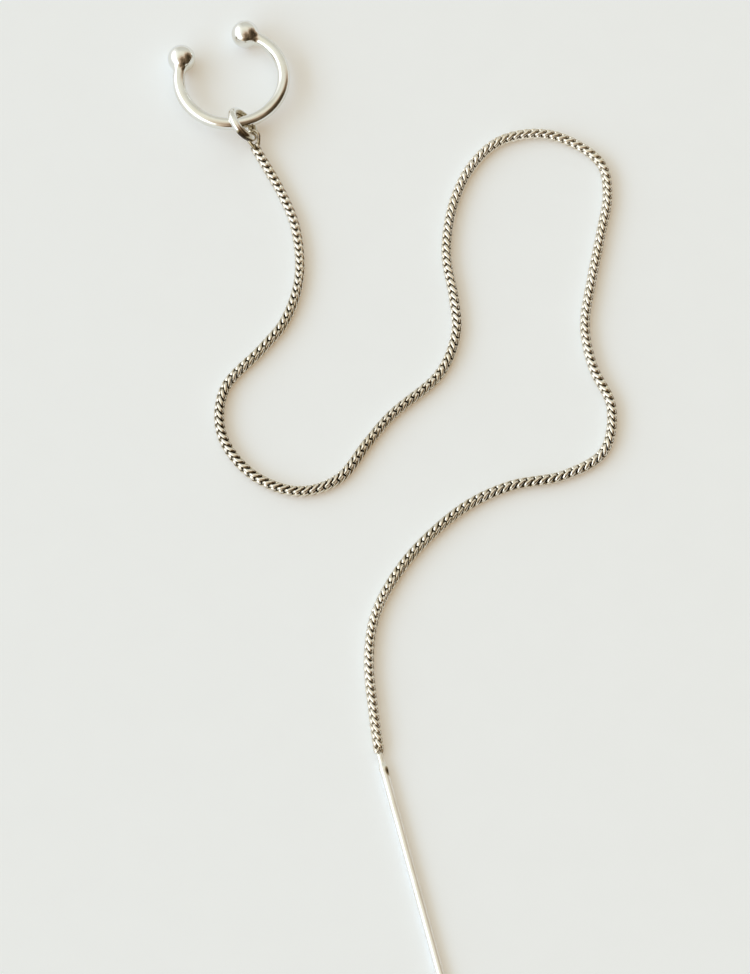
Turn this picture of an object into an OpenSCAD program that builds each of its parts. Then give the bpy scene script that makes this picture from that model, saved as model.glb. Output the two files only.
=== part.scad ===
// Threader earring with an ear cuff, lying on a table: a round-wire cuff with a ball on
// each end, a jump ring, a small end loop, a long foxtail chain and a straight threader bar.
// Millimetres. +Z is up, the table is z = 0, the bar points along -Y, and the origin lies
// under the middle of the whole earring.

/* [Ear cuff] */
// Diameter of the cuff's round wire
cuff_wire = 1.3; // [1.1:0.1:1.4]
// Radius of the cuff's bend, to the middle of the wire
cuff_bend = 5.45; // [5.3:0.05:5.8]
// Diameter of the ball on each end
ball_d = 2.9; // [2.6:0.1:3.1]
// Angle between the two balls, seen from the middle of the bend
mouth_angle = 80; // [70:1:90]
// Straight end of the wire, up to the middle of the left ball
left_end = 1.8; // [1.6:0.1:2.2]
// Straight end of the wire, up to the middle of the right ball
right_end = 0.6; // [0.4:0.1:1]
// Radius of the fillet between wire and ball
neck_fillet = 0.35; // [0.2:0.05:0.5]

/* [Jump ring] */
// Diameter of the jump ring, to the middle of its wire
jump_d = 3.3; // [3.25:0.01:3.35]
// Diameter of the jump ring's wire
jump_wire = 0.88; // [0.8:0.02:0.9]

/* [Chain end loop] */
// Diameter of the end loop's wire
loop_wire = 0.34; // [0.3:0.02:0.36]
// Play between the end loop and the jump ring
loop_play = 0.05; // [0.04:0.01:0.07]
// Distance between the middles of the loop's wide and narrow ends
loop_length = 1; // [0.9:0.05:1.1]
// Radius of the loop's narrow end, to the middle of its wire
loop_nose = 0.26; // [0.22:0.02:0.3]

/* [Chain] */
// Width of the chain across its rounded square section
chain_w = 1.1; // [1:0.05:1.3]

/* [Threader bar] */
// Diameter of the bar
bar_d = 0.8; // [0.6:0.05:0.8]
// Length of the bar with its solder collar
bar_length = 28.7; // [20:0.1:32]
// Diameter of the solder collar between chain and bar
collar_d = 0.9; // [0.86:0.02:1]
// Length of the solder collar
collar_length = 2.1; // [1.6:0.1:2.6]

/* [Hidden] */

// Smoothness of the round pieces
$fn = 64;

// How the jump ring lies: its middle, the turn and the lean of its axis
jump_at = [-15.11, 42.19];
jump_turn = 25;
jump_lean = 54;

// How the cuff lies: the direction of its middle from the jump ring and how far the ring hangs
// outside the middle of its wire, then the turn of its mouth and the lift of its near side
cuff_side = 103.26;
cuff_hang = 0.26;
cuff_at = jump_at + (cuff_bend + cuff_hang) * [cos(cuff_side), sin(cuff_side)];
cuff_turn = 25.4;
cuff_lean = 1.5;

// Where the end loop sits round the jump ring, and how it swings towards the chain
loop_seat = -61.6;
loop_swing = 18.7;
loop_slant = -12;
loop_back = 0.02;
// Sides of the end loop's wire, and steps in each of its two arcs
WIRE_SIDES = 16;
ARC_RINGS = 20;

// The middle of the chain on the table, from the end loop to the solder collar
ROUTE = [
    [-13.7, 39.7], [-11.2, 35.0], [-9.6, 30.6], [-9.2, 25.3], [-10.5, 20.5],
    [-12.9, 17.1], [-16.6, 12.7], [-16.9, 7.6], [-14.0, 3.3], [-9.4, 1.3],
    [-5.2, 2.6], [-2.3, 6.5], [0.3, 9.8], [4.9, 14.1], [6.7, 18.7],
    [6.5, 23.0], [5.8, 27.8], [6.4, 33.0], [8.4, 37.9], [11.8, 41.1],
    [16.7, 41.6], [21.4, 38.8], [22.4, 34.8], [21.5, 29.5], [20.6, 24.9],
    [19.8, 19.8], [20.5, 15.1], [22.3, 10.5], [21.4, 5.6], [17.3, 3.0],
    [12.1, 1.9], [7.8, -0.2], [3.9, -3.6], [0.9, -7.3], [-1.4, -11.9],
    [-2.1, -16.7], [-1.7, -21.9], [-1.1, -26.6]
];
// Lift of the chain's first link, which the end loop holds off the table
head_lift = 0.15;
// Sides of the chain's tube, and its rings in each stretch between two route points
TUBE_SIDES = 8;
RINGS_PER_STRETCH = 2;

// How the bar lies: its start next to the chain, and its turn from straight down the table
bar_at = [-1.05, -26.72];
bar_turn = 14.5;
// The collar is thickest in its middle, and the bar slopes down from there to the tip
collar_mid = collar_length / 2;
bar_slope = asin((collar_d - bar_d) / 2 / (bar_length - bar_d / 2 - collar_mid));

// Distance of a ball from the middle of the bend, with a straight end of the wire
function ball_reach(end) = norm([cuff_bend, end]);
// Angle that a straight end takes, seen from the middle of the bend
function end_angle(end) = atan2(end, cuff_bend);
// Height of the cuff's middle, with the farther ball on the table
cuff_z = ball_d / 2 + ball_reach(max(left_end, right_end)) * cos(mouth_angle / 2) * sin(cuff_lean);
// Height of the jump ring's middle, with its lowest point on the table
jump_z = jump_wire / 2 + jump_d / 2 * sin(jump_lean);
// Height of the bar's start, with the collar and the tip on the table
bar_z = collar_d / 2 + collar_mid * sin(bar_slope);

// Smooth curve through the route: a Catmull-Rom stretch from point i to point i + 1
function route_point(i) =
    i < 0 ? 2 * ROUTE[0] - ROUTE[1]
    : i >= len(ROUTE) ? 2 * ROUTE[len(ROUTE) - 1] - ROUTE[len(ROUTE) - 2]
    : ROUTE[i];
function curve(i, t) =
    let (a = route_point(i - 1), b = route_point(i), c = route_point(i + 1), d = route_point(i + 2))
    (2 * b + (c - a) * t + (2 * a - 5 * b + 4 * c - d) * t * t
        + (3 * b - a - 3 * c + d) * t * t * t) / 2;
// Point and direction of the chain at u, counted in route stretches from its head
last_stretch = len(ROUTE) - 2;
function chain_height(u) = chain_w / 2 + head_lift * pow(max(0, 1 - u), 2);
function chain_at(u) =
    let (i = min(floor(u), last_stretch), p = curve(i, u - i))
    [p.x, p.y, chain_height(u)];
function unit(v) = v / norm(v);
function chain_dir(u) =
    let (step = 0.01)
    unit(chain_at(min(u + step, last_stretch + 1)) - chain_at(max(u - step, 0)));

// One ring of points round the chain's tube, at u
function tube_ring(u) =
    let (
        r = chain_w / 2 / cos(180 / TUBE_SIDES),
        dir = chain_dir(u),
        side = unit(cross(dir, [0, 0, 1])),
        top = cross(side, dir)
    )
    [
        for (j = [0:TUBE_SIDES - 1])
            let (angle = (j + 0.5) * 360 / TUBE_SIDES)
            chain_at(u) + r * (cos(angle) * side + sin(angle) * top)
    ];
// One ring of points round the end loop's wire, on an arc about [middle, 0, 0]
function wire_ring(middle, bend, angle) = [
    for (j = [0:WIRE_SIDES - 1])
        let (around = j * 360 / WIRE_SIDES, out = bend + loop_wire / 2 * cos(around))
        [middle + out * cos(angle), out * sin(angle), loop_wire / 2 * sin(around)]
];
// Joins rings of points into one list
function flat(lists) = [for (list = lists, item = list) item];
// Faces between neighbouring rings, and back to the first ring where the sweep is closed
function walls(rings, sides, closed) = [
    for (k = [0:rings - (closed ? 1 : 2)], j = [0:sides - 1])
        let (a = k * sides, b = ((k + 1) % rings) * sides, n = (j + 1) % sides)
        [a + j, a + n, b + n, b + j]
];

// Wire ring or arc about the Z axis, starting on the X axis
module wire_arc(bend, wire, angle) {
    rotate_extrude(angle = angle, start = 0) translate([bend, 0]) circle(d = wire);
}

// Solid with a hollow curved side round the Z axis: the neck that solder leaves between the
// wire and its ball, from the middle of the ball upwards. It dips a little into both.
module neck(ball_r, wire_r) {
    dip = 0.03;
    mid_out = wire_r + neck_fillet - dip;
    mid_up = sqrt(pow(ball_r + neck_fillet - dip, 2) - pow(mid_out, 2));
    mid = [mid_out, mid_up];
    rotate_extrude() difference() {
        polygon([[0, 0], mid * (ball_r - dip) / norm(mid), mid, [0, mid_up]]);
        translate(mid) circle(r = neck_fillet);
    }
}

// One ball with its neck and the straight end of the wire. It stands at the end of the bend,
// and side is 1 where the bend comes from below and -1 where it comes from above.
module cuff_end(angle, side, length) {
    wire_r = cuff_wire / 2;
    ball_r = ball_d / 2;
    neck_up = sqrt(pow(ball_r + neck_fillet, 2) - pow(wire_r + neck_fillet, 2));
    // The neck points at the middle of the wire where it leaves the ball, on the bend or not
    on_bend = max(0, neck_up - length) / cuff_bend * 180 / PI;
    aim = atan2(cuff_bend * (1 - cos(on_bend)), cuff_bend * sin(on_bend) + length);
    rotate([0, 0, angle]) translate([cuff_bend, 0, 0]) rotate([-90 * side, 0, 0]) {
        cylinder(h = length, d = cuff_wire);
        translate([0, 0, length]) sphere(d = ball_d);
        translate([0, 0, length]) rotate([0, 180 + aim, 0]) neck(ball_r, wire_r);
    }
}

// Open ring with a ball on each end, all one piece of soldered metal
module ear_cuff() {
    sweep = 360 - mouth_angle - end_angle(left_end) - end_angle(right_end);
    left_from = 90 + mouth_angle / 2 + end_angle(left_end);
    color("silver")
    translate([cuff_at.x, cuff_at.y, cuff_z]) rotate([0, 0, cuff_turn]) rotate([-cuff_lean, 0, 0])
    rotate([0, 0, left_from]) {
        wire_arc(cuff_bend, cuff_wire, sweep);
        cuff_end(0, -1, left_end);
        cuff_end(sweep, 1, right_end);
    }
}

// Places its children in the jump ring's own frame, with the ring's axis along Z
module in_jump_ring() {
    translate([jump_at.x, jump_at.y, jump_z]) rotate([0, jump_lean, jump_turn]) children();
}

// Closed round ring through the cuff
module jump_ring() {
    color("gainsboro") in_jump_ring() wire_arc(jump_d / 2, jump_wire, 360);
}

// Pear-shaped loop round the jump ring's wire, narrow towards the chain: a wire swept round
// a wide and a narrow arc, with straight sides between them
module chain_end_loop() {
    wide = jump_wire / 2 + loop_play + loop_wire / 2;
    touch = acos((wide - loop_nose) / loop_length);
    wide_step = (360 - 2 * touch) / ARC_RINGS;
    nose_step = 2 * touch / ARC_RINGS;
    wide_arc = [for (k = [0:ARC_RINGS]) wire_ring(0, wide, touch + k * wide_step)];
    nose_arc = [for (k = [0:ARC_RINGS]) wire_ring(loop_length, loop_nose, k * nose_step - touch)];
    points = flat(concat(wide_arc, nose_arc));
    color("lightgray") in_jump_ring()
    rotate([0, 0, loop_seat]) translate([jump_d / 2, 0, 0]) rotate([90, loop_swing, loop_slant])
    translate([-loop_back, 0, 0]) polyhedron(points, walls(2 * ARC_RINGS + 2, WIRE_SIDES, true));
}

// The chain's outer shape: a tube swept along the route
module chain() {
    rings = (len(ROUTE) - 1) * RINGS_PER_STRETCH + 1;
    points = flat([for (k = [0:rings - 1]) tube_ring(k / RINGS_PER_STRETCH)]);
    head = [for (j = [0:TUBE_SIDES - 1]) TUBE_SIDES - 1 - j];
    tail = [for (j = [0:TUBE_SIDES - 1]) (rings - 1) * TUBE_SIDES + j];
    color("darkgray") polyhedron(points, concat([head], walls(rings, TUBE_SIDES, false), [tail]));
}

// Straight round bar with a solder collar at the chain and a rounded free end
module threader_bar() {
    color("whitesmoke")
    translate([bar_at.x, bar_at.y, bar_z]) rotate([0, 90 + bar_slope, bar_turn - 90]) {
        cylinder(h = bar_length - bar_d / 2, d = bar_d);
        translate([0, 0, bar_length - bar_d / 2]) sphere(d = bar_d);
        cylinder(h = collar_mid, d1 = bar_d, d2 = collar_d);
        translate([0, 0, collar_mid]) cylinder(h = collar_mid, d1 = collar_d, d2 = bar_d);
    }
}

ear_cuff();
jump_ring();
chain_end_loop();
chain();
threader_bar();
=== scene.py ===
# Threader earring with an ear cuff, lying on a pale table in window light.
# Metres. +Z is up, the table is z = 0 and the bar points along -Y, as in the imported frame.
# Each piece is built by an operator of its own, in the order in which main() calls them.

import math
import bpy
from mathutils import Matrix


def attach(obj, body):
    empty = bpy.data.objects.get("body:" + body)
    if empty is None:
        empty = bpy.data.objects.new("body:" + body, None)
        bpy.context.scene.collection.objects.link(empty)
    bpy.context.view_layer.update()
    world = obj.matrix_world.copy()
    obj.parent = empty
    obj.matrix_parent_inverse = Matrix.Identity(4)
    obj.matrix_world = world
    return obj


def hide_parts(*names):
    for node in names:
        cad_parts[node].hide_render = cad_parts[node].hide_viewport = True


bl_info = {
    "name": "Threader Earring",
    "version": (1, 0, 0),
    "blender": (4, 5, 0),
    "location": "View3D > Sidebar > Earring",
    "description": "Builds an ear cuff, its rings, a foxtail chain and a threader bar in silver",
    "category": "Add Mesh",
}

import bpy
from bpy.props import FloatProperty, FloatVectorProperty, IntProperty, PointerProperty
from mathutils import Matrix, Vector

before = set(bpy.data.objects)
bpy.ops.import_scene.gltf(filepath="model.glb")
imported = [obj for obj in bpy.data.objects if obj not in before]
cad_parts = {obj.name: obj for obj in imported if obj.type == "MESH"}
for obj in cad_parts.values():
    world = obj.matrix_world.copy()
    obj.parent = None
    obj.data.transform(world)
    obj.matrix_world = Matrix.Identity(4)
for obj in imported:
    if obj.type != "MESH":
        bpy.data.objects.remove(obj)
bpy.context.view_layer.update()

# Points closer than this are one point, in metres
SAME_POINT = 0.000002

# The middle of the chain on the table, from the end loop to the bar, in metres
ROUTE = [
    (-0.0137, 0.0397), (-0.0112, 0.0350), (-0.0096, 0.0306), (-0.0092, 0.0253),
    (-0.0105, 0.0205), (-0.0129, 0.0171), (-0.0166, 0.0127), (-0.0169, 0.0076),
    (-0.0140, 0.0033), (-0.0094, 0.0013), (-0.0052, 0.0026), (-0.0023, 0.0065),
    (0.0003, 0.0098), (0.0049, 0.0141), (0.0067, 0.0187), (0.0065, 0.0230),
    (0.0058, 0.0278), (0.0064, 0.0330), (0.0084, 0.0379), (0.0118, 0.0411),
    (0.0167, 0.0416), (0.0214, 0.0388), (0.0224, 0.0348), (0.0215, 0.0295),
    (0.0206, 0.0249), (0.0198, 0.0198), (0.0205, 0.0151), (0.0223, 0.0105),
    (0.0214, 0.0056), (0.0173, 0.0030), (0.0121, 0.0019), (0.0078, -0.0002),
    (0.0039, -0.0036), (0.0009, -0.0073), (-0.0014, -0.0119), (-0.0021, -0.0167),
    (-0.0017, -0.0219), (-0.0011, -0.0266),
]

# How far the chain is twisted about its own line, at distances from its first link.
# A quarter turn brings the next of its four faces to the top.
TWIST = [
    (0.0, -48), (0.010, -34), (0.016, -12), (0.024, -13), (0.028, 15), (0.032, 30),
    (0.040, 17), (0.047, 16), (0.054, 0), (0.058, -20), (0.062, -16), (0.066, -38),
    (0.070, -66), (0.072, -63), (0.077, -30), (0.083, -50), (0.088, -53), (0.096, -65),
    (0.104, -69), (0.115, -58), (0.130, -56), (0.139, -57), (0.146, -48), (0.152, -66),
    (0.158, -99), (0.165, -84), (0.167, -90), (0.171, -130), (0.176, -140), (0.184, -166),
]

# How dark it is between the links, from 0 to 1, at distances from the first link: partly real tarnish
# and partly painted shade.
# Some stretches of the chain are darker between their links than others.
TARNISH_AND_SHADE = [
    (0.0, 0.55), (0.0140, 0.65), (0.0172, 1.0), (0.0675, 1.0), (0.0715, 0.8),
    (0.0832, 0.7), (0.0878, 0.3), (0.1072, 0.12), (0.1265, 0.08), (0.1320, 0.5),
    (0.1425, 0.7), (0.1475, 1.0), (0.1655, 1.0), (0.1700, 0.1), (0.1840, 0.0),
]

# Sockets of a Mix node that mixes colours
MIX_A, MIX_B, MIX_RESULT = 6, 7, 2

# Directions of the dark furniture: right, in front, low between them, and above the camera
SHADES = [
    (0.905, -0.103, 0.412), (0.381, -0.903, 0.20), (0.87, -0.47, 0.13), (0.27, -0.56, 0.65),
]

# Colour of the room, from open wall to the middle of the dark furniture
SHADE_COLOURS = [
    (0.35, (0.75, 0.74, 0.65)),
    (0.60, (0.70, 0.67, 0.56)),
    (0.76, (0.56, 0.45, 0.34)),
    (0.81, (0.36, 0.26, 0.18)),
    (0.87, (0.17, 0.12, 0.075)),
    (1.00, (0.04, 0.028, 0.015)),
]


def length(name, description, default):
    """A size in metres, as a Blender property."""
    return FloatProperty(
        name=name, description=description, default=default, min=0.00001, max=1.0,
        precision=5, subtype="DISTANCE", unit="LENGTH",
    )


def turn(name, description, degrees):
    """An angle, as a Blender property."""
    return FloatProperty(
        name=name, description=description, default=math.radians(degrees),
        subtype="ANGLE", unit="ROTATION",
    )


def place(name, description, default):
    """A place in metres, as a Blender property."""
    return FloatVectorProperty(
        name=name, description=description, default=default, size=3,
        precision=5, subtype="TRANSLATION", unit="LENGTH",
    )


def tint(name, description, default):
    """A colour, as a Blender property."""
    return FloatVectorProperty(
        name=name, description=description, default=default, size=3,
        min=0.0, max=1.0, subtype="COLOR",
    )


def change(name, description, default):
    """A change of a colour, as a Blender property."""
    return FloatVectorProperty(
        name=name, description=description, default=default, size=3, min=-1.0, max=1.0,
    )


def share(name, description, default, top=1.0):
    """A number from nothing up to top, as a Blender property."""
    return FloatProperty(
        name=name, description=description, default=default, min=0.0, max=top,
    )


class CuffSizes(bpy.types.PropertyGroup):
    """Sizes and place of the ear cuff."""

    wire: length("Wire", "Diameter of the round wire", 0.0013)
    bend: length("Bend", "Radius of the bend, to the middle of the wire", 0.00545)
    ball: length("Ball", "Diameter of the ball on each end", 0.0029)
    mouth: turn("Mouth", "Angle between the two balls, seen from the middle of the bend", 80.0)
    left_end: length("Left end", "Straight end up to the middle of the left ball", 0.0018)
    right_end: length("Right end", "Straight end up to the middle of the right ball", 0.0006)
    fillet: length("Fillet", "Radius of the solder fillet between wire and ball", 0.0008)
    middle: place("Middle", "Middle of the bend", (-0.0164198, 0.0477477, 0.0015650))
    turned: turn("Turn", "Turn of the mouth on the table", 25.4)
    lean: turn("Lean", "Lift of the side away from the balls", 1.5)


class RingSizes(bpy.types.PropertyGroup):
    """Sizes and place of the jump ring and of the end loop round it."""

    across: length("Ring", "Diameter of the jump ring, to the middle of its wire", 0.0033)
    wire: length("Ring wire", "Diameter of the jump ring's wire", 0.00088)
    middle: place("Middle", "Middle of the jump ring", (-0.01511, 0.04219, 0.001775))
    turned: turn("Turn", "Turn of the ring's axis", 25.0)
    lean: turn("Lean", "Lean of the ring's axis", 54.0)
    loop_wire: length("Loop wire", "Diameter of the end loop's wire", 0.00034)
    loop_play: length("Loop play", "Play between the end loop and the jump ring", 0.00005)
    loop_length: length("Loop length", "Between the middles of the wide and narrow ends", 0.001)
    loop_nose: length("Loop nose", "Radius of the narrow end, to the middle of its wire", 0.00026)
    loop_back: length("Loop rest", "How far the loop hangs back from the ring's wire", 0.00002)
    seat: turn("Seat", "Where the loop sits round the jump ring", -61.6)
    swing: turn("Swing", "Swing of the loop towards the chain", 18.7)
    slant: turn("Slant", "Slant of the loop on the ring's wire", -12.0)
    # The ring's heavy darkening is a painted dark reflection on its lower end
    dark_reflection_from: turn("Tarnish from", "Where the ring's heavy tarnish starts, from the seat", -93.0)
    dark_reflection_past: turn("Tarnish past", "Where the ring's tarnish gets thinner again", -40.0)


class ChainSizes(bpy.types.PropertyGroup):
    """Sizes of the foxtail chain."""

    width: length("Width", "Width of the chain across its rounded section", 0.0011)
    pitch: length("Pitch", "Distance between two lobes of one row, before it is fitted", 0.000785)
    lobe_long: length("Lobe", "Length of a lobe along the chain", 0.00056)
    lobe_thick: length("Lobe thickness", "Thickness of a lobe", 0.00034)
    waist_wire: length("Waist wire", "Thickness of a link at its waist", 0.00028)
    taper: share("Taper", "How gently a lobe narrows towards the waist", 0.4)
    reach: length("Reach", "From the chain's line to the middle of a lobe", 0.00039)
    shoulder: length("Shoulder", "Half the width of a lobe", 0.00029)
    waist: length("Waist", "Half the width of a link where it passes the next ones", 0.00012)
    fold: length("Fold", "How far a lobe stands before the waist, as half a height", 0.00020)
    slant: length("Slant", "How far a lobe slants, as half of its height on the chain", 0.00041)
    drawn: length("Drawn", "Radius to which the draw plate flattens the lobes", 0.00055)
    head_lift: length("Head lift", "Lift of the first link, which the end loop holds", 0.00015)
    head: length("Head", "How far the first link lies over the end loop", 0.0009)
    tail: length("Tail", "How far the last link lies over the bar's collar", 0.0006)
    # Where the tarnish and the painted shade between the links reach
    clean: length("Clean", "Distance from the chain's line beyond which no tarnish stays", 0.00042)
    grown: length("Grown", "How much further out the heaviest tarnish reaches", 0.00013)
    fading: length("Fading", "Depth over which the tarnish gets its full strength", 0.00014)
    yellow: change("Yellow", "How the chain's silver differs in colour", (0.02, -0.03, -0.09))
    steps: IntProperty(name="Steps", description="Steps round a link", default=16, min=8, max=24)


class BarSizes(bpy.types.PropertyGroup):
    """Sizes and place of the threader bar."""

    across: length("Bar", "Diameter of the bar", 0.0008)
    long: length("Length", "Length of the bar with its solder collar", 0.0287)
    neck: length("Neck", "Diameter of the bar's end where it is soldered into the last link", 0.00062)
    neck_long: length("Neck length", "Length of the neck before the collar", 0.0009)
    inside: length("Inside", "How far the neck reaches into the last link", 0.0006)
    collar: length("Collar", "Diameter of the solder collar", 0.0009)
    collar_long: length("Collar length", "Length of the neck and the solder collar", 0.0021)
    swell: length("Swell", "Length over which the collar swells and narrows again", 0.00055)
    # A painted shade spot on one side of the collar
    shade_side: turn("Scorch", "Side of the collar on which the torch left a brown spot", -40.0)
    shade_back: length("Scorch place", "From the middle of the spot to the collar's end", 0.0002)
    shade_long: length("Scorch length", "Half the length of the spot", 0.0006)
    shade_wide: turn("Scorch width", "Half the width of the spot, round the bar", 45.8)
    # The bar's lighter silver is painted brightness, for the broad light that the bar catches
    painted_brightness: change("White", "How the bar's silver differs in colour", (0.07, 0.07, 0.07))
    start: place("Start", "Start of the bar next to the chain", (-0.00105, -0.02672, 0.000452))
    turned: turn("Turn", "Turn of the bar from straight down the table", 14.5)


class SilverLook(bpy.types.PropertyGroup):
    """Colours and gloss of the silver."""

    bright: tint("Bright", "Colour of freshly polished silver", (0.85, 0.85, 0.82))
    warm: tint("Warm", "Colour of silver with a breath of tarnish", (0.79, 0.77, 0.70))
    # The thin and dark colours serve real tarnish, painted shade and painted dark reflection alike
    thin: tint("Thin tarnish", "Colour of the tarnish where it is thin", (0.40, 0.32, 0.19))
    dark: tint("Dark", "Colour of the tarnish that stays between the links", (0.05, 0.035, 0.022))
    gloss: share("Gloss", "Roughness of the polished wire", 0.07)
    satin: share("Satin", "Roughness of the burnished bar", 0.28)


class TableLook(bpy.types.PropertyGroup):
    """The table, the light and the camera."""

    floor: tint("Table", "Colour of the table, bluish to make up for its warm glow", (0.64, 0.79, 0.93))
    glow: share("Glow", "How strongly the table glows, which softens the shadows", 0.29)
    glow_colour: tint("Glow colour", "Colour of the glow, seen in the shadows", (1.0, 0.69, 0.385))
    room: share("Room", "Strength of the light that comes back from the room", 1.24, 10.0)
    window: share("Window", "Strength of the window in watts", 18.08, 500.0)
    daylight: tint("Daylight", "Colour of the window's light", (0.708, 0.85, 1.0))
    long_side: share("Long side", "Long side of the window in metres", 4.2, 10.0)
    short_side: share("Short side", "Short side of the window in metres", 0.8, 10.0)
    beam: place("Beam", "Direction from the earring to the window", (-0.84, -0.16, 0.52))
    far: share("Far", "Distance of the window in metres", 2.0, 10.0)
    target: place("Target", "Point that the camera looks at", (-0.0015, 0.0020, 0.0))
    raised: turn("Raised", "Height of the camera above the table, as an angle", 66.0)
    away: length("Away", "Distance of the camera from its target", 0.45)
    lens: share("Lens", "Focal length in millimetres on a sensor 36 mm wide", 216.0, 500.0)


def settings():
    """The sizes and colours, which the scene holds."""
    return bpy.context.scene.earring


class EarringSettings(bpy.types.PropertyGroup):
    """All sizes and colours of the earring."""

    cuff: PointerProperty(type=CuffSizes)
    rings: PointerProperty(type=RingSizes)
    chain: PointerProperty(type=ChainSizes)
    bar: PointerProperty(type=BarSizes)
    silver: PointerProperty(type=SilverLook)
    table: PointerProperty(type=TableLook)


# Shared modelling steps


def select_none():
    """Leaves edit mode and deselects everything."""
    active = bpy.context.object
    if active is not None and active.mode != "OBJECT":
        bpy.ops.object.mode_set(mode="OBJECT")
    bpy.ops.object.select_all(action="DESELECT")


def pick(*pieces):
    """Selects these pieces alone. The last one becomes active."""
    select_none()
    for piece in pieces:
        piece.select_set(True)
        bpy.context.view_layer.objects.active = piece


def named(name):
    """Names the active object and its data."""
    piece = bpy.context.object
    piece.name = name
    piece.data.name = name
    return piece


def close_up(piece, distance):
    """Merges doubles, turns the faces outwards and smooths them."""
    pick(piece)
    bpy.ops.object.mode_set(mode="EDIT")
    bpy.ops.mesh.select_all(action="SELECT")
    bpy.ops.mesh.remove_doubles(threshold=distance)
    bpy.ops.mesh.normals_make_consistent(inside=False)
    bpy.ops.object.mode_set(mode="OBJECT")
    bpy.ops.object.shade_smooth()
    return piece


def set_down(piece, matrix):
    """Moves a piece by a matrix and applies the move, so its object stays at the origin."""
    pick(piece)
    piece.matrix_world = matrix
    bpy.ops.object.transform_apply(location=True, rotation=True, scale=True)
    return piece


def turned(z=0.0, y=0.0, x=0.0):
    """A turn about X, then Y, then Z."""
    about_z = Matrix.Rotation(z, 4, "Z")
    about_y = Matrix.Rotation(y, 4, "Y")
    about_x = Matrix.Rotation(x, 4, "X")
    return about_z @ about_y @ about_x


def eased(share_done):
    """Smooth step from 0 to 1 as the share done goes from 0 to 1."""
    t = min(1.0, max(0.0, share_done))
    return t * t * (3.0 - 2.0 * t)


def round_wire(name, places, radii, sides, closed=False):
    """Solid round wire through places, as thick at each as its radius says."""
    select_none()
    bpy.ops.curve.primitive_nurbs_path_add()
    piece = named(name)
    line = piece.data
    line.splines.clear()
    line.dimensions = "3D"
    line.twist_mode = "MINIMUM"
    line.bevel_depth = 1.0
    line.bevel_resolution = sides // 2 - 2
    spline = line.splines.new("POLY")
    spline.points.add(len(places) - 1)
    for point, at, radius in zip(spline.points, places, radii):
        point.co = (at[0], at[1], at[2], 1.0)
        point.radius = radius
    spline.use_cyclic_u = closed
    pick(piece)
    bpy.ops.object.convert(target="MESH")
    return piece


def mark_tarnish_and_shade(piece, depth):
    """Stores how deep the tarnish and painted shade are at each point of a piece, as depth says of the
    point.
    """
    mark = piece.data.attributes.new("tarnish_and_shade", "FLOAT", "POINT")
    for vertex, value in zip(piece.data.vertices, mark.data):
        value.value = depth(vertex.co)


def apply_modifier(piece, name):
    """Applies one modifier."""
    pick(piece)
    bpy.ops.object.modifier_apply(modifier=name)


def finish_piece(piece, material, slot_name, *nodes):
    """Gives a piece its material and body and hides the nodes that it stands for; slot_name is not
    used.
    """
    piece.data.materials.clear()
    piece.data.materials.append(material)
    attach(piece, "root")
    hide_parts(*nodes)
    return piece


# Materials


def add_node(tree, kind, at, **values):
    """Adds a node at a place in the tree and sets its properties."""
    node = tree.nodes.new(kind)
    node.location = at
    for key, value in values.items():
        setattr(node, key, value)
    return node


def silver_wear():
    """Shader group: handling marks on silver, which change its colour, gloss and surface."""
    group = bpy.data.node_groups.get("silver_wear")
    if group is not None:
        return group
    group = bpy.data.node_groups.new("silver_wear", "ShaderNodeTree")
    sockets = group.interface
    for name, kind in (
        ("Bright", "NodeSocketColor"),
        ("Warm", "NodeSocketColor"),
        ("Gloss", "NodeSocketFloat"),
        ("Haze", "NodeSocketFloat"),
        ("Marks", "NodeSocketFloat"),
    ):
        sockets.new_socket(name, in_out="INPUT", socket_type=kind)
    sockets.new_socket("Color", in_out="OUTPUT", socket_type="NodeSocketColor")
    sockets.new_socket("Roughness", in_out="OUTPUT", socket_type="NodeSocketFloat")
    sockets.new_socket("Normal", in_out="OUTPUT", socket_type="NodeSocketVector")
    link = group.links.new
    inside = add_node(group, "NodeGroupInput", (-900, 0))
    outside = add_node(group, "NodeGroupOutput", (700, 0))
    where = add_node(group, "ShaderNodeTexCoord", (-900, -300))

    # Cloudy patches where fingers dulled the polish
    cloud = add_node(group, "ShaderNodeTexNoise", (-600, 100))
    cloud.inputs["Scale"].default_value = 420.0
    cloud.inputs["Detail"].default_value = 3.0
    link(where.outputs["Object"], cloud.inputs["Vector"])
    dulled = add_node(group, "ShaderNodeMapRange", (-350, 150))
    dulled.inputs["From Min"].default_value = 0.42
    dulled.inputs["From Max"].default_value = 0.72
    link(cloud.outputs["Fac"], dulled.inputs["Value"])
    colour = add_node(group, "ShaderNodeMix", (0, 200), data_type="RGBA")
    link(dulled.outputs["Result"], colour.inputs["Factor"])
    link(inside.outputs["Bright"], colour.inputs[MIX_A])
    link(inside.outputs["Warm"], colour.inputs[MIX_B])
    link(colour.outputs[MIX_RESULT], outside.inputs["Color"])

    # The same patches are a little rougher
    rough = add_node(group, "ShaderNodeMath", (0, 0), operation="MULTIPLY_ADD")
    link(dulled.outputs["Result"], rough.inputs[0])
    link(inside.outputs["Haze"], rough.inputs[1])
    link(inside.outputs["Gloss"], rough.inputs[2])
    link(rough.outputs["Value"], outside.inputs["Roughness"])

    # Fine polishing marks
    marks = add_node(group, "ShaderNodeTexNoise", (-600, -300))
    marks.inputs["Scale"].default_value = 5200.0
    marks.inputs["Detail"].default_value = 2.0
    link(where.outputs["Object"], marks.inputs["Vector"])
    bump = add_node(group, "ShaderNodeBump", (300, -300))
    bump.inputs["Distance"].default_value = 0.00002
    link(marks.outputs["Fac"], bump.inputs["Height"])
    link(inside.outputs["Marks"], bump.inputs["Strength"])
    link(bump.outputs["Normal"], outside.inputs["Normal"])
    return group


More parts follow.
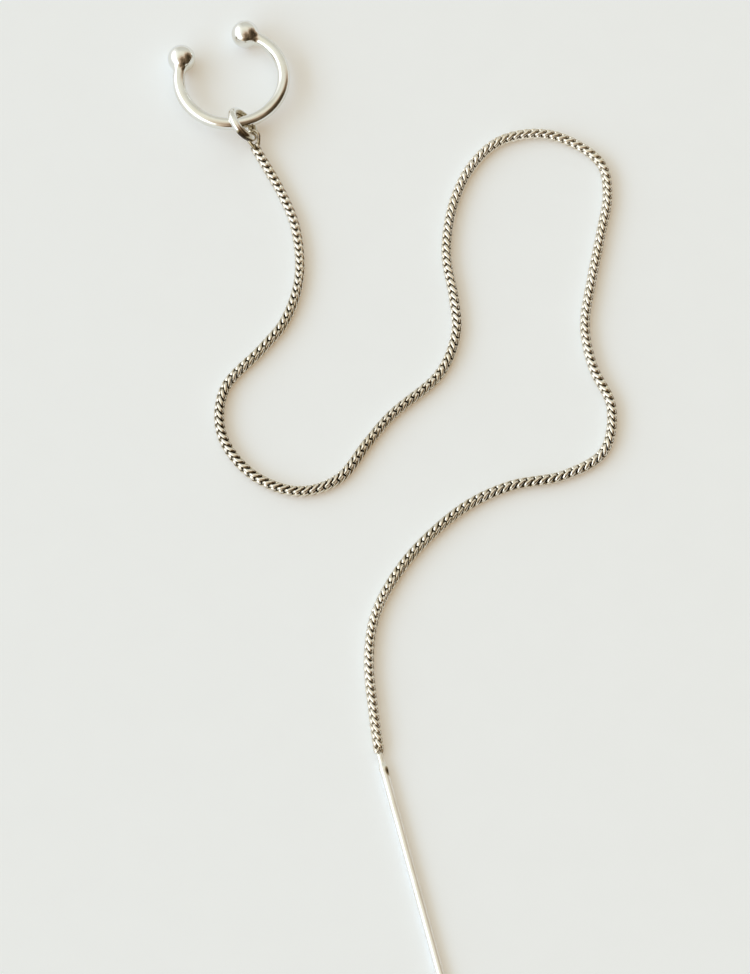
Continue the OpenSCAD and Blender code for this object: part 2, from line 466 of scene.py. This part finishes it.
def tarnish_and_painted_shade():
    """Shader group: tarnish and painted shade over silver, as deep as the point attribute says.

    It is brown where it is thin, then nearly black. On the chain it is partly real tarnish and partly
    painted shade between the links; on the jump ring it is painted dark reflection, and on the bar's
    collar a spot of painted shade.
    """
    group = bpy.data.node_groups.get("tarnish_and_painted_shade")
    if group is not None:
        return group
    group = bpy.data.node_groups.new("tarnish_and_painted_shade", "ShaderNodeTree")
    sockets = group.interface
    for name, kind in (
        ("Silver", "NodeSocketColor"),
        ("Thin", "NodeSocketColor"),
        ("Dark", "NodeSocketColor"),
        ("Roughness", "NodeSocketFloat"),
    ):
        sockets.new_socket(name, in_out="INPUT", socket_type=kind)
    sockets.new_socket("Color", in_out="OUTPUT", socket_type="NodeSocketColor")
    sockets.new_socket("Roughness", in_out="OUTPUT", socket_type="NodeSocketFloat")
    link = group.links.new
    inside = add_node(group, "NodeGroupInput", (-700, 400))
    outside = add_node(group, "NodeGroupOutput", (200, 0))

    # Depth of the tarnish and painted shade, a little uneven
    depth = add_node(group, "ShaderNodeAttribute", (-1300, -100), attribute_name="tarnish_and_shade")
    where = add_node(group, "ShaderNodeTexCoord", (-1500, -300))
    patches = add_node(group, "ShaderNodeTexNoise", (-1300, -300))
    patches.inputs["Scale"].default_value = 2600.0
    patches.inputs["Detail"].default_value = 2.0
    link(where.outputs["Object"], patches.inputs["Vector"])
    uneven = add_node(group, "ShaderNodeMapRange", (-1100, -300))
    uneven.inputs["From Min"].default_value = 0.3
    uneven.inputs["From Max"].default_value = 0.7
    uneven.inputs["To Min"].default_value = 0.8
    uneven.inputs["To Max"].default_value = 1.2
    link(patches.outputs["Fac"], uneven.inputs["Value"])
    deep = add_node(group, "ShaderNodeMath", (-900, -100), operation="MULTIPLY")
    link(depth.outputs["Fac"], deep.inputs[0])
    link(uneven.outputs["Result"], deep.inputs[1])

    # Thin brown first, then dark
    thin = add_node(group, "ShaderNodeMapRange", (-700, -100), interpolation_type="SMOOTHSTEP")
    thin.inputs["From Max"].default_value = 0.6
    link(deep.outputs["Value"], thin.inputs["Value"])
    thick = add_node(group, "ShaderNodeMapRange", (-700, -400), interpolation_type="SMOOTHSTEP")
    thick.inputs["From Min"].default_value = 0.45
    link(deep.outputs["Value"], thick.inputs["Value"])
    brown = add_node(group, "ShaderNodeMix", (-400, 300), data_type="RGBA")
    link(thin.outputs["Result"], brown.inputs["Factor"])
    link(inside.outputs["Silver"], brown.inputs[MIX_A])
    link(inside.outputs["Thin"], brown.inputs[MIX_B])
    colour = add_node(group, "ShaderNodeMix", (-200, 300), data_type="RGBA")
    link(thick.outputs["Result"], colour.inputs["Factor"])
    link(brown.outputs[MIX_RESULT], colour.inputs[MIX_A])
    link(inside.outputs["Dark"], colour.inputs[MIX_B])
    link(colour.outputs[MIX_RESULT], outside.inputs["Color"])

    # Where it is thick it is rougher
    rough = add_node(group, "ShaderNodeMath", (-200, 0), operation="MULTIPLY_ADD")
    rough.inputs[1].default_value = 0.30
    link(thick.outputs["Result"], rough.inputs[0])
    link(inside.outputs["Roughness"], rough.inputs[2])
    link(rough.outputs["Value"], outside.inputs["Roughness"])
    return group


def shifted(colour, shift):
    """A colour with a change added to it, for a colour socket."""
    return (*(part + by for part, by in zip(colour, shift)), 1.0)


def silver(name, gloss, haze, marks, tarnished_and_shaded=False, shift=(0.0, 0.0, 0.0)):
    """Silver with handling marks, darkened by tarnish and painted shade where its attribute says. shift
    changes its colours.
    """
    look = settings().silver
    material = bpy.data.materials.new(name)
    material.use_nodes = True
    tree = material.node_tree
    link = tree.links.new
    shader = tree.nodes["Principled BSDF"]
    shader.inputs["Metallic"].default_value = 1.0
    wear = add_node(tree, "ShaderNodeGroup", (-600, 200))
    wear.node_tree = silver_wear()
    wear.inputs["Bright"].default_value = shifted(look.bright, shift)
    wear.inputs["Warm"].default_value = shifted(look.warm, shift)
    wear.inputs["Gloss"].default_value = gloss
    wear.inputs["Haze"].default_value = haze
    wear.inputs["Marks"].default_value = marks
    link(wear.outputs["Normal"], shader.inputs["Normal"])
    surface = wear
    if tarnished_and_shaded:
        surface = add_node(tree, "ShaderNodeGroup", (-300, 200))
        surface.node_tree = tarnish_and_painted_shade()
        surface.inputs["Thin"].default_value = (*look.thin, 1.0)
        surface.inputs["Dark"].default_value = (*look.dark, 1.0)
        link(wear.outputs["Color"], surface.inputs["Silver"])
        link(wear.outputs["Roughness"], surface.inputs["Roughness"])
    link(surface.outputs["Color"], shader.inputs["Base Color"])
    link(surface.outputs["Roughness"], shader.inputs["Roughness"])
    return material


def table_top():
    """Matt pale table with a faint grain."""
    look = settings().table
    material = bpy.data.materials.new("pale_table")
    material.use_nodes = True
    tree = material.node_tree
    link = tree.links.new
    shader = tree.nodes["Principled BSDF"]
    shader.inputs["Roughness"].default_value = 0.85
    shader.inputs["Emission Color"].default_value = (*look.glow_colour, 1.0)
    shader.inputs["Emission Strength"].default_value = look.glow
    shader.inputs["Specular IOR Level"].default_value = 0.2
    where = add_node(tree, "ShaderNodeTexCoord", (-900, 0))
    grain = add_node(tree, "ShaderNodeTexNoise", (-700, 0))
    grain.inputs["Scale"].default_value = 260.0
    grain.inputs["Detail"].default_value = 4.0
    link(where.outputs["Object"], grain.inputs["Vector"])
    colour = add_node(tree, "ShaderNodeMix", (-300, 100), data_type="RGBA")
    colour.inputs[MIX_A].default_value = (*(c * 0.985 for c in look.floor), 1.0)
    colour.inputs[MIX_B].default_value = (*(min(1.0, c * 1.015) for c in look.floor), 1.0)
    link(grain.outputs["Fac"], colour.inputs["Factor"])
    link(colour.outputs[MIX_RESULT], shader.inputs["Base Color"])
    return material


# Stage


def room_light(strength):
    """World light: a room, bright at the left, dull behind, brown in front and at the right."""
    world = bpy.data.worlds.new("room")
    bpy.context.scene.world = world
    world.use_nodes = True
    tree = world.node_tree
    link = tree.links.new
    tree.nodes.clear()
    output = add_node(tree, "ShaderNodeOutputWorld", (900, 0))
    background = add_node(tree, "ShaderNodeBackground", (700, 0))
    background.inputs["Strength"].default_value = strength
    link(background.outputs["Background"], output.inputs["Surface"])
    where = add_node(tree, "ShaderNodeTexCoord", (-900, 0))

    # How near a direction is to the nearest piece of dark furniture
    nearest = None
    for k, way in enumerate(SHADES):
        towards = add_node(tree, "ShaderNodeVectorMath", (-600, -200 * k), operation="DOT_PRODUCT")
        towards.inputs[1].default_value = way
        link(where.outputs["Generated"], towards.inputs[0])
        if nearest is None:
            nearest = towards
            continue
        larger = add_node(tree, "ShaderNodeMath", (-400, -200 * k), operation="MAXIMUM")
        link(nearest.outputs["Value"], larger.inputs[0])
        link(towards.outputs["Value"], larger.inputs[1])
        nearest = larger

    # Ragged edges of the furniture
    clutter = add_node(tree, "ShaderNodeTexNoise", (-600, -900))
    clutter.inputs["Scale"].default_value = 4.5
    clutter.inputs["Detail"].default_value = 3.0
    link(where.outputs["Generated"], clutter.inputs["Vector"])
    ragged = add_node(tree, "ShaderNodeMapRange", (-400, -900))
    ragged.inputs["From Min"].default_value = 0.3
    ragged.inputs["From Max"].default_value = 0.7
    ragged.inputs["To Min"].default_value = -0.06
    ragged.inputs["To Max"].default_value = 0.06
    link(clutter.outputs["Fac"], ragged.inputs["Value"])
    edge = add_node(tree, "ShaderNodeMath", (-250, -500), operation="ADD")
    link(nearest.outputs["Value"], edge.inputs[0])
    link(ragged.outputs["Result"], edge.inputs[1])

    # Open wall, then the brown and the near black of the furniture
    shade = add_node(tree, "ShaderNodeValToRGB", (-100, -100))
    ramp = shade.color_ramp
    ramp.elements.remove(ramp.elements[1])
    ramp.elements[0].position = SHADE_COLOURS[0][0]
    ramp.elements[0].color = (*SHADE_COLOURS[0][1], 1.0)
    for position, colour in SHADE_COLOURS[1:]:
        ramp.elements.new(position).color = (*colour, 1.0)
    link(edge.outputs["Value"], shade.inputs["Fac"])

    # Duller wall behind the table
    split = add_node(tree, "ShaderNodeSeparateXYZ", (-600, 300))
    link(where.outputs["Generated"], split.inputs["Vector"])
    behind = add_node(tree, "ShaderNodeMapRange", (-300, 600), interpolation_type="SMOOTHSTEP")
    behind.inputs["From Min"].default_value = 0.35
    behind.inputs["From Max"].default_value = 0.90
    link(split.outputs["Y"], behind.inputs["Value"])
    dull = add_node(tree, "ShaderNodeMix", (200, 100), data_type="RGBA")
    dull.inputs[MIX_B].default_value = (0.54, 0.54, 0.49, 1.0)
    link(behind.outputs["Result"], dull.inputs["Factor"])
    link(shade.outputs["Color"], dull.inputs[MIX_A])

    # Pale wall round the window at the left
    left = add_node(tree, "ShaderNodeMapRange", (-300, 300), interpolation_type="SMOOTHSTEP")
    left.inputs["From Min"].default_value = -0.30
    left.inputs["From Max"].default_value = -0.95
    link(split.outputs["X"], left.inputs["Value"])
    walls = add_node(tree, "ShaderNodeMix", (400, 100), data_type="RGBA")
    walls.inputs[MIX_B].default_value = (1.1, 1.12, 1.12, 1.0)
    link(left.outputs["Result"], walls.inputs["Factor"])
    link(dull.outputs[MIX_RESULT], walls.inputs[MIX_A])
    link(walls.outputs[MIX_RESULT], background.inputs["Color"])
    return world


class EARRING_OT_table(bpy.types.Operator):
    """Adds the table, the window, the room's light and the camera"""

    bl_idname = "earring.table"
    bl_label = "Table, light and camera"

    def execute(self, context):
        look = settings().table
        context.scene.view_settings.view_transform = "Standard"
        room_light(look.room)

        # Table: a wide sheet with rounded corners
        select_none()
        bpy.ops.mesh.primitive_plane_add(size=3.0)
        table = named("table")
        bpy.ops.object.mode_set(mode="EDIT")
        bpy.ops.mesh.select_all(action="SELECT")
        bpy.ops.mesh.bevel(offset=0.3, segments=8, affect="VERTICES")
        bpy.ops.object.mode_set(mode="OBJECT")
        table.data.materials.append(table_top())

        # Window at the left
        select_none()
        bpy.ops.object.light_add(type="AREA")
        window = named("window")
        window.data.shape = "RECTANGLE"
        window.data.size = look.long_side
        window.data.size_y = look.short_side
        window.data.energy = look.window
        window.data.color = look.daylight
        beam = Vector(look.beam).normalized()
        window.location = beam * look.far
        window.rotation_euler = beam.to_track_quat("Z", "Y").to_euler()

        # Camera at the photo's angle
        select_none()
        bpy.ops.object.camera_add()
        camera = named("camera")
        target = Vector(look.target)
        back = Vector((0.0, -math.cos(look.raised), math.sin(look.raised)))
        camera.location = target + back * look.away
        camera.rotation_euler = (math.pi / 2 - look.raised, 0.0, 0.0)
        camera.data.sensor_width = 36.0
        camera.data.sensor_fit = "HORIZONTAL"
        camera.data.lens = look.lens
        camera.data.clip_start = 0.005
        camera.data.clip_end = 20.0
        context.scene.camera = camera
        return {"FINISHED"}


# Ear cuff


def ball_and_neck(ball, wire, fillet):
    """Distance from the ball's middle and radius, from the ball's far pole to the wire."""
    middle_out = wire + fillet
    middle_up = math.sqrt((ball + fillet) ** 2 - middle_out**2)
    tangent = math.atan2(middle_out, middle_up)
    profile = []
    for k in range(25):
        angle = math.pi + (tangent - math.pi) * k / 24
        profile.append((ball * math.cos(angle), max(ball * math.sin(angle), 0.0)))
    for k in range(1, 7):
        angle = tangent + (math.pi / 2 - tangent) * k / 6
        up = middle_up - fillet * math.cos(angle)
        out = middle_out - fillet * math.sin(angle)
        profile.append((up, out))
    return profile


class EARRING_OT_ear_cuff(bpy.types.Operator):
    """Builds the open ring of round wire with a ball on each end"""

    bl_idname = "earring.ear_cuff"
    bl_label = "Ear cuff"

    def execute(self, context):
        sizes = settings().cuff
        wire = sizes.wire / 2
        profile = ball_and_neck(sizes.ball / 2, wire, sizes.fillet)
        neck = profile[-1][0]
        left_angle = math.atan2(sizes.left_end, sizes.bend)
        right_angle = math.atan2(sizes.right_end, sizes.bend)
        sweep = 2 * math.pi - sizes.mouth - left_angle - right_angle

        def on_bend(angle, beyond=0.0):
            """A point on the bend, or beyond its end along the straight wire."""
            out = Vector((math.cos(angle), math.sin(angle), 0.0))
            ahead = Vector((-math.sin(angle), math.cos(angle), 0.0))
            return out * sizes.bend + ahead * beyond

        def end_of_wire(middle, start):
            """Points and radii of a ball and its neck, from the far pole to the wire."""
            ahead = (start - middle).normalized()
            return [(middle + ahead * up, out) for up, out in profile]

        # The neck of each ball starts on the straight end or on the bend
        left_ball = on_bend(0.0, -sizes.left_end)
        right_ball = on_bend(sweep, sizes.right_end)
        left_neck = on_bend(0.0, -(sizes.left_end - neck))
        back = (neck - sizes.right_end) / sizes.bend
        right_neck = on_bend(sweep - back)
        stations = end_of_wire(left_ball, left_neck)
        turns = 112
        for k in range(turns + 1):
            angle = (sweep - back) * k / turns
            stations.append((on_bend(angle), wire))
        stations.pop()
        stations += reversed(end_of_wire(right_ball, right_neck))

        cuff = round_wire("cuff", [s[0] for s in stations], [s[1] for s in stations], 36)
        close_up(cuff, SAME_POINT)
        left_from = math.pi / 2 + sizes.mouth / 2 + left_angle
        lie = Matrix.Translation(sizes.middle)
        lie = lie @ turned(z=sizes.turned) @ turned(x=-sizes.lean) @ turned(z=left_from)
        set_down(cuff, lie)
        look = settings().silver
        finish = silver("cuff_silver", look.gloss, haze=0.05, marks=0.02)
        finish_piece(cuff, finish, "cuff_silver", "ear_cuff")
        return {"FINISHED"}


# Rings


def in_jump_ring(sizes):
    """The jump ring's own frame, with the ring's axis along Z."""
    return Matrix.Translation(sizes.middle) @ turned(z=sizes.turned, y=sizes.lean)


def ring_painted_reflection(at):
    """Depth of the painted dark reflection on the jump ring: light inside, heavy towards the end loop.
    """
    sizes = settings().rings
    inward = (sizes.across / 2 - math.hypot(at.x, at.y)) / (sizes.wire / 2)
    from_seat = (math.atan2(at.y, at.x) - sizes.seat) % math.tau - math.tau
    aside = at.z / (sizes.wire / 2)

    # Painted dark reflection, heavy on the near side of the ring's lower end, where it starts and stops
    # softly, and thinner towards one side of the wire
    starts = sizes.dark_reflection_from - math.radians(3.0) * aside
    end_reflection = eased((from_seat - starts) / math.radians(16.0))
    end_reflection *= 1.0 - 0.6 * eased((from_seat - sizes.dark_reflection_past) / math.radians(14.0))
    end_reflection *= 1.0 - 0.65 * eased((aside - 0.05) / 0.4)
    # Lighter painted dark reflection on the inside of the ring
    inside_reflection = 0.5 * eased((inward + 0.1) / 0.5)
    return max(inside_reflection, end_reflection)


def loop_darkening(at):
    """Depth of the darkening on the end loop: all over it, and deeper in its narrow end."""
    return 0.35 + 0.3 * eased(at.x / settings().rings.loop_length)


class EARRING_OT_rings(bpy.types.Operator):
    """Builds the jump ring through the cuff and the end loop that holds the chain"""

    bl_idname = "earring.rings"
    bl_label = "Jump ring and end loop"

    def execute(self, context):
        sizes = settings().rings
        look = settings().silver
        gloss = look.gloss + 0.02
        finish = silver("ring_silver", gloss, haze=0.06, marks=0.03, tarnished_and_shaded=True)

        # Jump ring: the wire's section turned once round the ring's axis. The Spin operator
        # would give the faces another order in each run.
        select_none()
        bpy.ops.mesh.primitive_circle_add(
            vertices=28, radius=sizes.wire / 2,
            location=(sizes.across / 2, 0.0, 0.0), rotation=(math.pi / 2, 0.0, 0.0),
        )
        ring = named("jump_wire")
        bpy.ops.object.transform_apply(location=True, rotation=True, scale=True)
        sweep = ring.modifiers.new("sweep", "SCREW")
        sweep.axis = "Z"
        sweep.angle = math.tau
        sweep.steps = 72
        sweep.render_steps = 72
        apply_modifier(ring, "sweep")
        close_up(ring, SAME_POINT)
        mark_tarnish_and_shade(ring, ring_painted_reflection)
        set_down(ring, in_jump_ring(sizes))
        finish_piece(ring, finish, "ring_silver", "jump_ring")

        # End loop: wide round the ring's wire, narrow towards the chain
        wide = sizes.wire / 2 + sizes.loop_play + sizes.loop_wire / 2
        touch = math.acos((wide - sizes.loop_nose) / sizes.loop_length)
        places = []
        for k in range(25):
            angle = touch + (2 * math.pi - 2 * touch) * k / 24
            places.append(Vector((math.cos(angle), math.sin(angle), 0.0)) * wide)
        for k in range(17):
            angle = -touch + 2 * touch * k / 16
            nose = Vector((math.cos(angle), math.sin(angle), 0.0)) * sizes.loop_nose
            places.append(nose + Vector((sizes.loop_length, 0.0, 0.0)))
        radii = [sizes.loop_wire / 2] * len(places)
        loop = round_wire("end_loop", places, radii, 14, closed=True)
        close_up(loop, SAME_POINT)
        mark_tarnish_and_shade(loop, loop_darkening)
        lie = in_jump_ring(sizes) @ turned(z=sizes.seat)
        lie = lie @ Matrix.Translation((sizes.across / 2, 0.0, 0.0))
        lie = lie @ turned(z=sizes.slant, y=sizes.swing, x=math.pi / 2)
        lie = lie @ Matrix.Translation((-sizes.loop_back, 0.0, 0.0))
        set_down(loop, lie)
        finish_piece(loop, finish, "ring_silver", "chain_end_loop")
        return {"FINISHED"}


# Chain


def route_curve(per_stretch):
    """Points along a smooth line through the route, from the first link to the bar."""
    lift = settings().chain.head_lift
    height = settings().chain.width / 2
    spots = [Vector(p) for p in ROUTE]
    spots.insert(0, 2 * spots[0] - spots[1])
    spots.append(2 * spots[-1] - spots[-2])
    points = []
    for i in range(len(ROUTE) - 1):
        before, start, end, after = spots[i : i + 4]
        for k in range(per_stretch + (i == len(ROUTE) - 2)):
            t = k / per_stretch
            p = 2 * start + (end - before) * t
            p += (2 * before - 5 * start + 4 * end - after) * t**2
            p = (p + (3 * start - before - 3 * end + after) * t**3) / 2
            up = height + lift * max(0.0, 1.0 - i - t) ** 2
            points.append(Vector((p.x, p.y, up)))
    return points


def at_distance(table, distance):
    """Value of a table of distances and values at a distance from the first link."""
    if distance <= table[0][0]:
        return table[0][1]
    for (d0, v0), (d1, v1) in zip(table, table[1:]):
        if distance <= d1:
            return v0 + (v1 - v0) * (distance - d0) / (d1 - d0)
    return table[-1][1]


def chain_line():
    """The chain's line as a curve that twists, and its length."""
    sizes = settings().chain
    points = route_curve(12)
    points.insert(0, points[0] + (points[0] - points[1]).normalized() * sizes.head)
    points.append(points[-1] + (points[-1] - points[-2]).normalized() * sizes.tail)
    select_none()
    bpy.ops.curve.primitive_nurbs_path_add()
    piece = named("chain_line")
    line = piece.data
    line.splines.clear()
    line.dimensions = "3D"
    line.twist_mode = "Z_UP"
    spline = line.splines.new("POLY")
    spline.points.add(len(points) - 1)
    gone = 0.0
    raised = settings().table.raised
    for k, point in enumerate(points):
        if k:
            gone += (point - points[k - 1]).length
        ahead = (points[min(k + 1, len(points) - 1)] - points[max(k - 1, 0)]).normalized()

        # The twist is told from the camera's side, so the turn from straight up is added
        towards = math.atan2(math.cos(raised) * ahead.x, math.sin(raised))
        spline.points[k].co = (*point, 1.0)
        spline.points[k].tilt = math.radians(at_distance(TWIST, gone - sizes.head)) + towards
    return piece, gone


def link_path(sizes, angle):
    """Middle of a link's wire at an angle round the link: along, out to its corner and across."""

    # Two waves, one and three times round the link, are wide at its shoulders and meet at the waist
    one = (sizes.shoulder * math.sqrt(2) + sizes.waist) / 2
    three = (sizes.shoulder * math.sqrt(2) - sizes.waist) / 2
    along = sizes.fold * math.cos(2 * angle) + sizes.slant * math.sin(2 * angle)
    out = sizes.reach * math.cos(angle)
    across = one * math.sin(angle) + three * math.sin(3 * angle)
    return Vector((along, across, out))


def foxtail_link(name):
    """One link along X: two broad slanted lobes, at the top and at the bottom, and a waist."""
    sizes = settings().chain
    select_none()
    bpy.ops.mesh.primitive_torus_add(
        major_segments=sizes.steps, minor_segments=6, major_radius=1.0, minor_radius=0.25,
    )
    link = named(name)
    for vertex in link.data.vertices:
        angle = math.atan2(vertex.co.y, vertex.co.x)
        around = math.atan2(vertex.co.z, math.hypot(vertex.co.x, vertex.co.y) - 1.0)
        middle = link_path(sizes, angle)
        ahead = (link_path(sizes, angle + 0.01) - link_path(sizes, angle - 0.01)).normalized()
        out = Vector((0.0, middle.y, middle.z))
        out = (out - ahead * out.dot(ahead)).normalized()
        wide = ahead.cross(out)

        # The lobes are broad and thin, and the waist is round
        lobe = eased((math.cos(2 * angle) + sizes.taper) / (2 * sizes.taper))
        crossing = math.hypot(ahead.y, ahead.z)
        broad = max(sizes.waist_wire / 2, sizes.lobe_long / 2 * crossing * lobe)
        thick = (sizes.waist_wire + (sizes.lobe_thick - sizes.waist_wire) * lobe) / 2
        sideways = broad * math.sin(around) / math.sin(math.pi / 3)
        vertex.co = middle + wide * sideways + out * thick * math.cos(around)
    return close_up(link, SAME_POINT / 2)


def link_pair(pitch):
    """Two foxtail links as one mesh: the second is a quarter turn on and half a pitch ahead."""
    sizes = settings().chain
    first = foxtail_link("foxtail_chain")
    set_down(first, turned(x=math.radians(-45)))
    second = foxtail_link("next_link")
    set_down(second, Matrix.Translation((pitch / 2, 0.0, 0.0)) @ turned(x=math.radians(45)))
    pick(second, first)
    bpy.ops.object.join()
    pair = bpy.context.object

    # The draw plate flattens the lobes
    for vertex in pair.data.vertices:
        off = math.hypot(vertex.co.y, vertex.co.z)
        if off > sizes.drawn:
            vertex.co.y *= sizes.drawn / off
            vertex.co.z *= sizes.drawn / off
    return pair


def chain_tarnish_and_shade(at):
    """Depth of the tarnish and painted shade between the links, near the line of the chain, which is
    still straight along X.
    """
    sizes = settings().chain
    grown = at_distance(TARNISH_AND_SHADE, at.x - sizes.head)
    deep = (sizes.clean + sizes.grown * grown - math.hypot(at.y, at.z)) / sizes.fading
    return (0.25 + 0.75 * grown) * min(1.0, max(0.0, deep))


class EARRING_OT_chain(bpy.types.Operator):
    """Builds the foxtail chain from separate links along its line on the table"""

    bl_idname = "earring.chain"
    bl_label = "Foxtail chain"

    def execute(self, context):
        sizes = settings().chain
        line, total = chain_line()
        half_link = sizes.slant + sizes.waist_wire
        middles = total - 2 * half_link
        count = round(middles / sizes.pitch)
        pitch = middles / count
        chain = link_pair(pitch)
        set_down(chain, Matrix.Translation((half_link, 0.0, 0.0)))

        # Copies one pitch apart, bent along the chain's line
        row = chain.modifiers.new("row", "ARRAY")
        row.count = count
        row.use_relative_offset = False
        row.use_constant_offset = True
        row.constant_offset_displace = (pitch, 0.0, 0.0)
        bend = chain.modifiers.new("bend", "CURVE")
        bend.object = line
        bend.deform_axis = "POS_X"
        apply_modifier(chain, "row")
        mark_tarnish_and_shade(chain, chain_tarnish_and_shade)
        apply_modifier(chain, "bend")
        pick(line)
        bpy.ops.object.delete()
        finish = silver(
            "chain_silver", settings().silver.gloss + 0.05,
            haze=0.05, marks=0.02, tarnished_and_shaded=True, shift=sizes.yellow,
        )
        finish_piece(chain, finish, "chain_silver", "chain")
        return {"FINISHED"}


# Bar


def collar_painted_shade(at):
    """Depth of the painted shade: a brown spot on one side of the collar."""
    sizes = settings().bar
    beyond = (at.z - sizes.collar_long + sizes.shade_back) / sizes.shade_long
    aside = (math.atan2(at.x, at.y) - sizes.shade_side) / sizes.shade_wide
    return max(0.0, 0.9 - 0.9 * (beyond**2 + aside**2))


class EARRING_OT_bar(bpy.types.Operator):
    """Builds the threader bar with its solder collar and rounded tip"""

    bl_idname = "earring.bar"
    bl_label = "Threader bar"

    def execute(self, context):
        sizes = settings().bar
        bar = sizes.across / 2
        neck = sizes.neck / 2
        collar = sizes.collar / 2
        tip = sizes.long - bar
        slope = math.asin((collar - bar) / (tip - sizes.neck_long))

        # Blunt end inside the last link, then the neck and the collar
        profile = [(-sizes.inside, 0.0), (-sizes.inside, neck * 0.5)]
        profile.append((-sizes.inside / 6, neck * 0.85))
        for k in range(25):
            along = sizes.collar_long * k / 24
            rise = eased((along - sizes.neck_long) / sizes.swell)
            fall = eased((along - sizes.collar_long + sizes.swell) / sizes.swell)
            profile.append((along, neck + (collar - neck) * rise - (collar - bar) * fall))

        # A few rings close to the collar, for the edge of the painted shade spot
        for k in range(1, 4):
            profile.append((sizes.collar_long + sizes.shade_long * k / 3, bar))

        # Plain bar and its rounded tip
        for k in range(1, 13):
            profile.append((sizes.collar_long + (tip - sizes.collar_long) * k / 12, bar))
        for k in range(1, 11):
            angle = math.pi / 2 * k / 10
            out = max(bar * math.cos(angle), 0.0)
            profile.append((tip + bar * math.sin(angle), out))
        places = [Vector((0.0, 0.0, p[0])) for p in profile]
        rod = round_wire("threader", places, [p[1] for p in profile], 32)
        close_up(rod, SAME_POINT)
        lie = Matrix.Translation(sizes.start)
        lie = lie @ turned(z=sizes.turned - math.pi / 2, y=math.pi / 2 + slope)
        mark_tarnish_and_shade(rod, collar_painted_shade)
        set_down(rod, lie)
        # The bar's silver is made lighter as painted brightness, and its collar carries a painted shade
        # spot
        finish = silver(
            "bar_silver", settings().silver.satin,
            haze=0.06, marks=0.05, tarnished_and_shaded=True, shift=sizes.painted_brightness,
        )
        finish_piece(rod, finish, "bar_silver", "threader_bar")
        return {"FINISHED"}


# Panel and registration

STEPS = (
    EARRING_OT_table,
    EARRING_OT_ear_cuff,
    EARRING_OT_rings,
    EARRING_OT_chain,
    EARRING_OT_bar,
)


class EARRING_PT_panel(bpy.types.Panel):
    """Lists the earring's sizes and the steps that build it"""

    bl_label = "Threader earring"
    bl_idname = "EARRING_PT_panel"
    bl_space_type = "VIEW_3D"
    bl_region_type = "UI"
    bl_category = "Earring"

    def draw(self, context):
        layout = self.layout
        for step in STEPS:
            layout.operator(step.bl_idname)
        earring = context.scene.earring
        for group in (earring.cuff, earring.rings, earring.chain, earring.bar,
                      earring.silver, earring.table):
            box = layout.box()
            for name in type(group).__annotations__:
                box.prop(group, name)


CLASSES = (
    CuffSizes,
    RingSizes,
    ChainSizes,
    BarSizes,
    SilverLook,
    TableLook,
    EarringSettings,
    *STEPS,
    EARRING_PT_panel,
)


def register():
    """Adds the settings, the operators and the panel."""
    for item in CLASSES:
        bpy.utils.register_class(item)
    bpy.types.Scene.earring = PointerProperty(type=EarringSettings)


def unregister():
    """Takes them out again."""
    del bpy.types.Scene.earring
    for item in reversed(CLASSES):
        bpy.utils.unregister_class(item)


def main():
    """Builds everything."""
    register()
    bpy.ops.earring.table()
    bpy.ops.earring.ear_cuff()
    bpy.ops.earring.rings()
    bpy.ops.earring.chain()
    bpy.ops.earring.bar()


if __name__ == "__main__":
    main()
